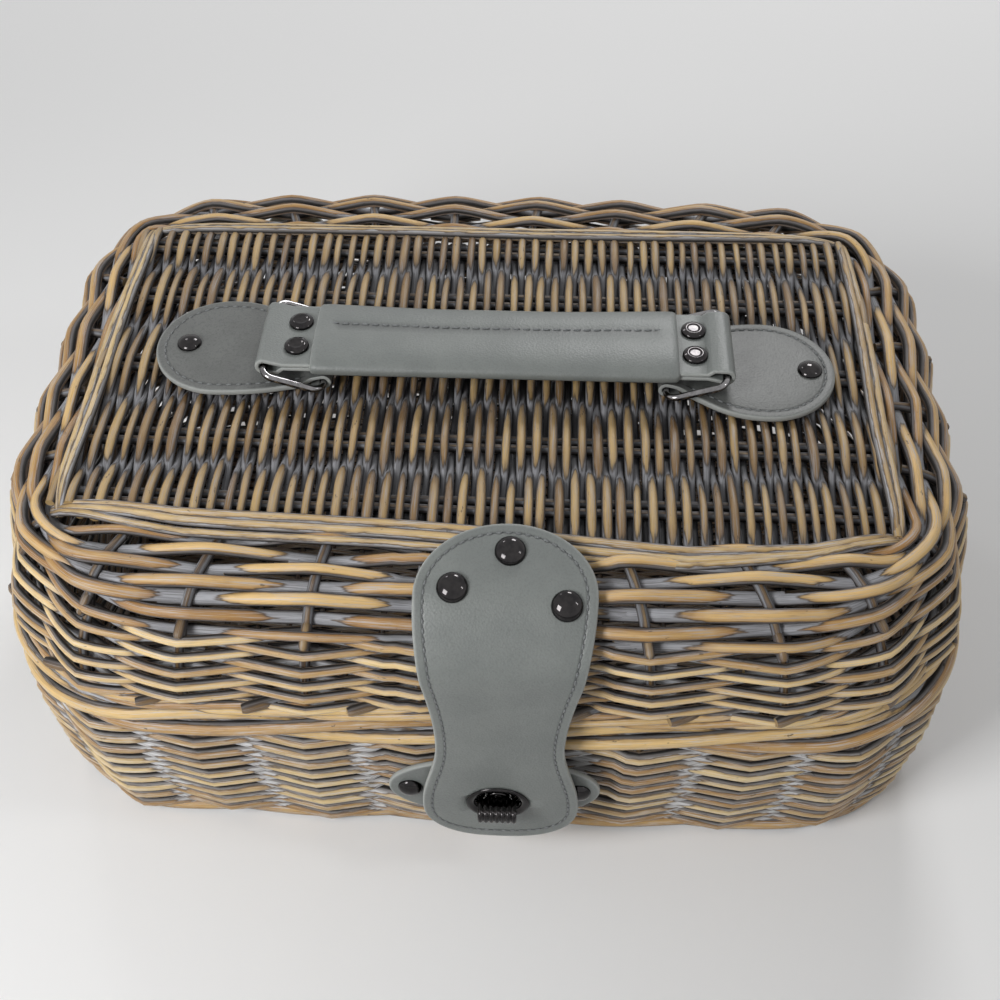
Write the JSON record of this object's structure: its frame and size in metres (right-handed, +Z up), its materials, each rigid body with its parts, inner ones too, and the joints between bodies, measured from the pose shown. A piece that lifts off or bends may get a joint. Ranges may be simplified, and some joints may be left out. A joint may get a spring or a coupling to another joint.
{
  "type": "picnic basket",
  "caption": "Wicker picnic basket with a hinged shouldered lid, a leather flap with a twist lock, and a leather handle on wire rings.",
  "frame": {"origin": "centre of the flat underside", "axes": "+Z up, +X to the right along the length, +Y to the back, where the hinges are"},
  "size_m": [0.4019, 0.3084, 0.1902],
  "materials": {
    "honey_willow": "satin, weathered",
    "washed_willow": "matt, grey wash in the hollows",
    "border_willow": "satin, weathered",
    "grey_leather": "satin, fine grain, stitched",
    "dark_nickel": "polished dark nickel"
  },
  "bodies": {
    "root": {"side_wall": "honey_willow", "foot_border": "border_willow", "woven_floor": "honey_willow", "rim_rod_lower": "border_willow", "rim_rod_middle": "border_willow", "rim_rod_upper": "border_willow", "lock_patch": "grey_leather", "patch_rivet_left": "dark_nickel", "patch_rivet_right": "dark_nickel", "lock_plate": "dark_nickel", "hinge_strap_left_lower": "grey_leather", "hinge_rivet_left_lower": "dark_nickel", "hinge_strap_right_lower": "grey_leather", "hinge_rivet_right_lower": "dark_nickel"},
    "lid": {"lid_shell": "washed_willow", "lid_border_rod": "border_willow", "lid_panel": "washed_willow", "panel_frame_rod": "border_willow", "flap_rivet_top": "dark_nickel", "flap_rivet_left": "dark_nickel", "flap_rivet_right": "dark_nickel", "flap_upper": "grey_leather", "tab_left": "grey_leather", "tab_rivet_left": "dark_nickel", "tab_right": "grey_leather", "tab_rivet_right": "dark_nickel", "hinge_strap_left_upper": "grey_leather", "hinge_rivet_left_upper": "dark_nickel", "hinge_strap_right_upper": "grey_leather", "hinge_rivet_right_upper": "dark_nickel"},
    "flap": {"flap_lower": "grey_leather", "flap_eyelet": "dark_nickel"},
    "knob": {"turn_knob": "dark_nickel"},
    "ring_left": {"wire_ring_left": "dark_nickel"},
    "ring_right": {"wire_ring_right": "dark_nickel"},
    "handle": {"strap_rivet_left_front": "dark_nickel", "strap_rivet_left_back": "dark_nickel", "strap_rivet_right_front": "dark_nickel", "strap_rivet_right_back": "dark_nickel", "handle_strap": "grey_leather", "grip_sleeve": "grey_leather"}
  },
  "joints": [
    {"name": "lid_hinge", "type": "hinge", "parent": "root", "child": "lid", "pos_m": [0, 0.14691, 0.106], "axis": [-1, 0, 0], "range_deg": [0, 100]},
    {"name": "flap_lift", "type": "hinge", "parent": "lid", "child": "flap", "pos_m": [0.0097, -0.14987, 0.102], "axis": [-1, 0, 0], "range_deg": [0, 85]},
    {"name": "turn_lock", "type": "hinge", "parent": "root", "child": "knob", "pos_m": [0.0087, -0.14977, 0.0595], "axis": [0, -1, 0], "range_deg": [0, 90]},
    {"name": "handle_lift", "type": "slide", "parent": "lid", "child": "handle", "axis": [0, 0, 1], "range_m": [0, 0.009]},
    {"name": "ring_turn_left", "type": "hinge", "parent": "lid", "child": "ring_left", "pos_m": [-0.0683, -0.006, 0.1771], "axis": [0, 1, 0], "range_deg": [0, 25]},
    {"name": "ring_turn_right", "type": "hinge", "parent": "lid", "child": "ring_right", "pos_m": [0.0737, -0.006, 0.1771], "axis": [0, -1, 0], "range_deg": [0, 25]}
  ],
  "couplings": [
    {"joint": "ring_turn_left", "follows": "handle_lift", "rad_per_m": 46.801},
    {"joint": "ring_turn_right", "follows": "handle_lift", "rad_per_m": 46.801}
  ]
}
